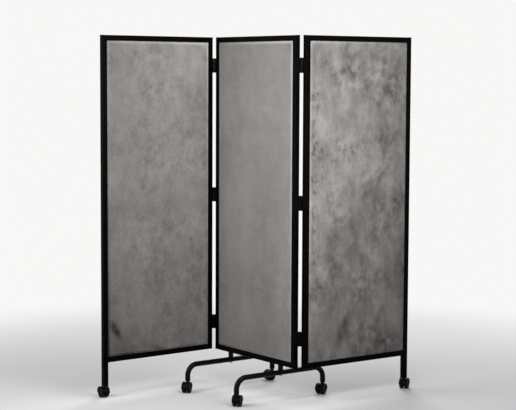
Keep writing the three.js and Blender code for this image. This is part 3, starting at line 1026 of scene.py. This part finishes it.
def bent_foot(name):
    """One foot tube: a round section drawn up from its front end, round a bend, across,
    round the other bend and down, then closed off inside each end."""
    select()
    bpy.ops.mesh.primitive_circle_add(
        vertices=ROUND_SIDES, radius=FOOT_RADIUS, fill_type="NOTHING",
        location=(0, -FOOT_REACH, CASTER_HEIGHT),
    )
    piece = fresh(name)
    rise = FOOT_AXIS - FOOT_BEND - CASTER_HEIGHT
    bend = FOOT_REACH - FOOT_BEND
    with editing(piece):
        pick_all()
        draw_edges(0, 0, rise)
        spin_bend(-bend)
        draw_edges(0, 2 * bend, 0)
        spin_bend(bend)
        draw_edges(0, 0, -rise)
        pick_all()
        bpy.ops.mesh.remove_doubles(threshold=MERGE_DISTANCE)
        bpy.ops.mesh.fill_holes(sides=0)
        bpy.ops.mesh.normals_make_consistent(inside=False)
    return open_ends(piece)


def round_plug(name):
    """The moulded plug in a foot's end that holds the caster's stem."""
    low, high = CASTER_HEIGHT + PLUG_SINK, CASTER_HEIGHT + SOCKET_DEPTH
    piece = add_upright(name, FOOT_RADIUS - TUBE_WALL, low, high)
    round_rims(piece, "z", PLUG_LIP, 2, lambda middle: middle.z < low + NEAR)
    return bored(piece, low)


def foot_spacer(name):
    """A turned spacer with a saddle for the tube under it."""
    high = RAIL_UNDERSIDE
    piece = add_upright(name, SPACER_RADIUS, FOOT_AXIS, high, WHEEL_SIDES)
    round_rims(piece, "z", SPACER_ROUND, 3, lambda middle: middle.z > high - NEAR)
    half = 2 * SPACER_RADIUS
    cut(piece, add_rod("saddle", FOOT_RADIUS, (0, -half, FOOT_AXIS), (0, half, FOOT_AXIS), WHEEL_SIDES))
    return smooth(piece)


def foot_bolt(name):
    """A button head with a hexagon recess on a washer, under the tube."""
    seat = FOOT_AXIS - FOOT_RADIUS
    top = seat - WASHER_HEIGHT
    washer = add_upright("washer", WASHER_RADIUS, top, seat + WASHER_SINK, BROAD_SIDES)
    round_rims(washer, "z", WASHER_ROUND, 2)
    low = seat - BOLT_HEAD_HEIGHT
    head = add_upright(name, BOLT_HEAD_RADIUS, low, top, BROAD_SIDES)
    round_rims(head, "z", BOLT_HEAD_ROUND, 5, lambda middle: middle.z < low + NEAR)
    cut(head, add_upright("hexagon", HEX_RECESS_RADIUS, low - CUT_PAST, low + HEX_RECESS_DEPTH, 6))
    high = RAIL_UNDERSIDE + BOLT_REACH
    shank = add_upright("shank", BOLT_RADIUS, top - SHANK_SINK, high, SMALL_SIDES)
    return smooth(join(name, head, washer, shank))


def build_feet(coat, steel, plastic):
    tube, spacer, bolt, plug = bent_foot("foot"), foot_spacer("spacer"), foot_bolt("bolt"), round_plug("plug")
    for word, side in SIDES:
        place = PANELS["middle_panel"][1] @ shifted(side * (PANEL_WIDTH / 2 - FOOT_INSET), 0, 0)
        foot = f"{word}_foot"
        fit_for(copy_to(tube, f"{foot}_bent_tube", place), f"{foot}_tube", coat)
        fit_for(copy_to(spacer, f"{foot}_turned_spacer", place), f"{foot}_spacer", coat)
        fit_for(copy_to(bolt, f"{foot}_button_bolt", place), f"{foot}_bolt", steel)
        for end, reach in (("front", -FOOT_REACH), ("back", FOOT_REACH)):
            piece = copy_to(plug, f"{foot}_{end}_socket", place @ shifted(0, reach, 0))
            fit(piece, BODY_OF[f"{foot}_tube"], plastic)
    discard(tube, spacer, bolt, plug)


# Casters

def hood_shell():
    """The arched cover over both wheels, on the axle line along Y through the origin."""
    select()
    bpy.ops.mesh.primitive_circle_add(
        vertices=2 * HOOD_SEGMENTS, radius=HOOD_RADIUS, fill_type="NOTHING",
        rotation=(math.pi / 2, 0, 0), location=(0, -HOOD_HALF_WIDTH, 0),
    )
    piece = fresh("shell")
    with editing(piece):
        pick_points(piece, lambda point: point.z < -NEAR)
        bpy.ops.mesh.delete(type="VERT")
        pick_points(piece, lambda point: point.z < NEAR)
        bpy.ops.mesh.extrude_vertices_move(TRANSFORM_OT_translate={"value": (0, 0, -HOOD_SKIRT)})
        pick_all()
        draw_edges(0, 2 * HOOD_HALF_WIDTH, 0)
        for edge in (-1, 1):
            for side in (-1, 1):
                pick_all()
                beside = side * (RIB_ASIDE + edge * RIB_WIDTH / 2)
                bpy.ops.mesh.bisect(plane_co=(0, beside, 0), plane_no=(0, 1, 0))
        pick_all()
        bpy.ops.mesh.normals_make_consistent(inside=False)
    top = max(piece.data.polygons, key=lambda face: face.center.z)
    if top.normal.z < 0:
        piece.data.flip_normals()
    apply(piece, "SOLIDIFY", thickness=HOOD_RADIUS - HOOD_INNER_RADIUS, offset=-1)
    with editing(piece):
        pick_faces(
            piece,
            lambda middle, normal: abs(abs(middle.y) - RIB_ASIDE) < RIB_WIDTH / 4
            and middle.z > 0
            and normal.dot(middle.normalized()) > 0.9,
        )
        bpy.ops.mesh.extrude_region_shrink_fatten(TRANSFORM_OT_shrink_fatten={"value": RIB_PROUD})
    round_rims(
        piece, "y", HOOD_ROUND, 3,
        lambda middle: abs(abs(middle.y) - HOOD_HALF_WIDTH) < NEAR
        and Vector((middle.x, 0, max(middle.z, 0))).length > HOOD_RADIUS - RIB_PROUD,
    )
    return piece


def hood_web():
    """The middle web between the wheels, sunk a little into the shell, and its round foot."""
    start, end = (0, -WEB_HALF, 0), (0, WEB_HALF, 0)
    web = add_rod("web", HOOD_INNER_RADIUS + WEB_SINK, start, end, 2 * HOOD_SEGMENTS)
    with editing(web):
        slice_off((0, 0, -HOOD_SKIRT), (0, 0, -1))
    foot = add_rod("web_foot", WEB_FOOT_RADIUS, start, end, BROAD_SIDES)
    round_rims(foot, "y", WEB_FOOT_ROUND, 2)
    return web, foot


def hood_dust(point):
    return max(0, HOOD_DUST_SHARE - (point.z - WHEEL_RADIUS) / HOOD_RADIUS)


def caster_hood(name):
    """The moulded hood with its web and its boss, its stem on the Z axis."""
    hood = join(name, hood_shell(), *hood_web())
    hood.data.transform(shifted(CASTER_TRAIL, 0, WHEEL_RADIUS))
    boss = add_upright("boss", BOSS_RADIUS, WHEEL_RADIUS + BOSS_START, BOSS_HEIGHT)
    round_rims(boss, "z", BOSS_ROUND, 3, lambda middle: middle.z > BOSS_HEIGHT - NEAR)
    far = 2 * HOOD_HALF_WIDTH
    start, end = (CASTER_TRAIL, -far, WHEEL_RADIUS), (CASTER_TRAIL, far, WHEEL_RADIUS)
    room = add_rod("room", HOOD_INNER_RADIUS, start, end, 2 * HOOD_SEGMENTS)
    cut(room, add_block("keep", (-2 * far, -WEB_HALF, 0), (2 * far, WEB_HALF, 2 * far)))
    cut(boss, room)
    hood = join(name, hood, boss)
    share_by(hood, "dust_share", hood_dust)
    return smooth(hood)


def caster_stem(name):
    """The steel stem with its collar, and the axle's two ends."""
    collar = add_upright(name, COLLAR_RADIUS, BOSS_HEIGHT - COLLAR_SINK, CASTER_HEIGHT - FIT)
    round_rims(collar, "z", COLLAR_ROUND, 2, lambda middle: middle.z > BOSS_HEIGHT)
    stem = add_upright("stem", STEM_RADIUS, BOSS_HEIGHT, CASTER_HEIGHT + STEM_LENGTH)
    reach = WHEEL_OUTER - HUB_RECESS + AXLE_PROUD
    start, end = (CASTER_TRAIL, -reach, WHEEL_RADIUS), (CASTER_TRAIL, reach, WHEEL_RADIUS)
    axle = add_rod("axle", AXLE_RADIUS, start, end, SMALL_SIDES)
    round_rims(axle, "y", AXLE_PROUD, 3)
    return smooth(join(name, collar, stem, axle))


def wheel_dust(point):
    return 1 if math.hypot(point.x, point.z) > WHEEL_RADIUS - DUSTY_TREAD else FACE_DUST_SHARE


def caster_wheel(name):
    """One wheel on the +Y side of its caster: a crowned tread, a face with shallow pockets
    and a recessed hub with a collar round the axle."""
    piece = add_rod(name, WHEEL_RADIUS, (0, WHEEL_INNER, 0), (0, WHEEL_OUTER, 0), WHEEL_SIDES)
    round_rims(piece, "y", TREAD_ROUND, 5, lambda middle: middle.y > WHEEL_OUTER - NEAR)
    round_rims(piece, "y", TREAD_INNER_ROUND, 3, lambda middle: middle.y < WHEEL_INNER + NEAR)
    steps = (
        (TREAD_RIM, -FACE_DROP),
        (WHEEL_RADIUS - TREAD_ROUND - TREAD_RIM - HUB_RADIUS, 0),
        (HUB_SLOPE, FACE_DROP - HUB_RECESS),
        (HUB_RADIUS - HUB_SLOPE - HUB_CAP_RADIUS, 0),
        (HUB_CAP_SLOPE, HUB_CAP_HEIGHT),
        (HUB_CAP_RADIUS - HUB_CAP_SLOPE - AXLE_RADIUS - HUB_CAP_BORE, 0),
    )
    with editing(piece):
        pick_faces(piece, lambda middle, normal: normal.y > 0.99 and middle.length > WHEEL_INNER)
        for inward, outward in steps:
            bpy.ops.mesh.inset(thickness=inward)
            move(0, outward, 0)
    for index in range(WHEEL_POCKETS):
        angle = (index + 0.5) / WHEEL_POCKETS * 2 * math.pi
        middle = Vector((math.cos(angle), 0, math.sin(angle))) * POCKET_ASIDE
        start = middle + Vector((0, WHEEL_OUTER - POCKET_DEPTH, 0))
        end = middle + Vector((0, WHEEL_OUTER + CUT_PAST, 0))
        cut(piece, add_rod("pocket", POCKET_RADIUS, start, end, SLIM_SIDES))
    cut(piece, add_rod("bore", AXLE_RADIUS + AXLE_PLAY, (0, 0, 0), (0, WHEEL_OUTER + CUT_PAST, 0)))
    share_by(piece, "dust_share", wheel_dust)
    piece.data.transform(shifted(CASTER_TRAIL, 0, WHEEL_RADIUS))
    return smooth(piece)


def caster_places():
    """The place of each caster's stem on the floor, with the way in which it trails."""
    middle = PANELS["middle_panel"][1]
    for name, degrees in TRAIL_DEGREES.items():
        if name.endswith("_panel"):
            side, place = PANELS[name]
            stem = place @ shifted(side * (PANEL_WIDTH - TUBE) / 2, 0, 0)
        else:
            side = -1 if name.startswith("left") else 1
            reach = -FOOT_REACH if name.endswith("front") else FOOT_REACH
            stem = middle @ shifted(side * (PANEL_WIDTH / 2 - FOOT_INSET), reach, 0)
        yield name, stem, stem @ turned(math.radians(degrees), "Z")


def build_casters(hood_finish, wheel_finish, steel):
    hood, stem, wheel = caster_hood("hood"), caster_stem("stem"), caster_wheel("wheel")
    plug = socket_plug("plug", TUBE / 2 - TUBE_WALL, TUBE_CORNER - TUBE_WALL)
    axle = shifted(CASTER_TRAIL, 0, WHEEL_RADIUS)
    other_side = axle @ turned(math.pi, "X") @ axle.inverted()
    for name, post, place in caster_places():
        caster = f"{name}_caster"
        node = f"{caster}_hood"
        fit_for(copy_to(hood, f"{caster}_cover", place), node, hood_finish)
        fit(copy_to(stem, f"{caster}_stem", place), BODY_OF[node], steel)
        for word, there in (("a", place), ("b", place @ other_side)):
            node = f"{caster}_wheel_{word}"
            fit_for(copy_to(wheel, f"{node}_tyre", there), node, wheel_finish)
        if name in PANELS:
            fit(copy_to(plug, f"{name}_leg_socket", post), name, hood_finish)
    discard(hood, stem, wheel, plug)


# Stage

def seen_share(tree):
    """1 where the camera looks, also in a gloss and through a clear surface, and 0 for what
    only lights the screen."""
    rays = put(tree, "LightPath", {}).outputs
    seen = calculate(tree, "MAXIMUM", rays["Is Camera Ray"], rays["Is Transmission Ray"])
    return calculate(tree, "MAXIMUM", seen, rays["Is Glossy Ray"])


def white_world():
    """White where the camera, a gloss or a clear surface looks past the floor, and a low
    even light for everything else."""
    world = bpy.data.worlds.new("studio")
    bpy.context.scene.world = world
    world.use_nodes = True
    tree = world.node_tree
    lit = blend(tree, seen_share(tree), grey(WORLD_LIGHT_TONE), grey(*STUDIO_WHITE))
    fill(tree, tree.nodes["Background"], {"Color": lit})


def pale_floor():
    """A wide floor that keeps the shadow and turns into the white of the studio far away."""
    select()
    bpy.ops.mesh.primitive_circle_add(vertices=FLOOR_SIDES, radius=FLOOR_RADIUS, fill_type="NGON")
    floor = fresh("studio_floor")
    material, tree, shader = new_material("studio_floor")
    seen = seen_share(tree)
    colour = blend(tree, seen, grey(FLOOR_BOUNCE_TONE), grey(FLOOR_TONE))
    fill(tree, shader, {"Base Color": colour, "Roughness": 0.9, "Specular IOR Level": 0.1})
    far = put(tree, "VectorMath", {0: put(tree, "TexCoord", {}).outputs["Object"]}, operation="LENGTH")
    fade = remap(tree, far.outputs["Value"], FLOOR_FADE_START, FLOOR_FADE_END)
    white = put(tree, "Emission", {"Color": grey(*STUDIO_WHITE)}).outputs[0]
    mixer = put(tree, "MixShader", {0: times(tree, fade, seen), 1: shader.outputs[0], 2: white})
    fill(tree, tree.nodes["Material Output"], {"Surface": mixer.outputs[0]})
    floor.data.materials.append(material)


def soft_lamp(name, place, aim, size, power):
    lamp = bpy.data.lights.new(name, "AREA")
    lamp.shape, lamp.size, lamp.energy = "DISK", size, power
    holder = bpy.data.objects.new(name, lamp)
    bpy.context.scene.collection.objects.link(holder)
    holder.location = place
    holder.rotation_euler = (Vector(aim) - Vector(place)).to_track_quat("-Z", "Y").to_euler()
    holder.visible_camera = False


def set_camera():
    camera = bpy.data.cameras.new("camera")
    camera.sensor_width = SENSOR_WIDTH
    camera.lens = SENSOR_WIDTH * FOCAL_LENGTH_PIXELS / PICTURE_WIDTH
    holder = bpy.data.objects.new("camera", camera)
    bpy.context.scene.collection.objects.link(holder)
    upright = turned(math.radians(90 - CAMERA_PITCH), "X") @ turned(math.radians(CAMERA_ROLL), "Z")
    place = shifted(*(SCREEN_CENTRE + Vector(CAMERA_PLACE)))
    holder.matrix_world = place @ turned(math.radians(CAMERA_HEADING), "Z") @ upright
    bpy.context.scene.camera = holder


def set_stage():
    bpy.context.scene.view_settings.view_transform = "Standard"
    white_world()
    pale_floor()
    for name, lamp in LAMPS.items():
        soft_lamp(name, *lamp)


set_camera()
set_stage()
frame_coat = finish("satin_black_coat", black_powder_coat, 0.36, 0.02)
foot_coat = finish("shiny_black_coat", black_powder_coat, 0.26, 0.08)
hinge_finish = finish("black_hinge_paint", black_hinge_paint)
bolt_finish = finish("zinc_steel", bare_steel, zinc_bloom, 0.26, 0.46)
stem_finish = finish("blackened_steel", bare_steel, black_bloom, 0.38, 0.52)
hood_finish = finish("hood_black", moulded_plastic, 0.0018, 0.34, 0.05)
wheel_finish = finish("wheel_black", moulded_plastic, 0.0028, 0.46, 0.24)
build_posts(frame_coat)
build_rails(frame_coat)
build_welds(frame_coat)
build_infills()
build_hinges(hinge_finish)
build_feet(foot_coat, bolt_finish, hood_finish)
build_casters(hood_finish, wheel_finish, stem_finish)
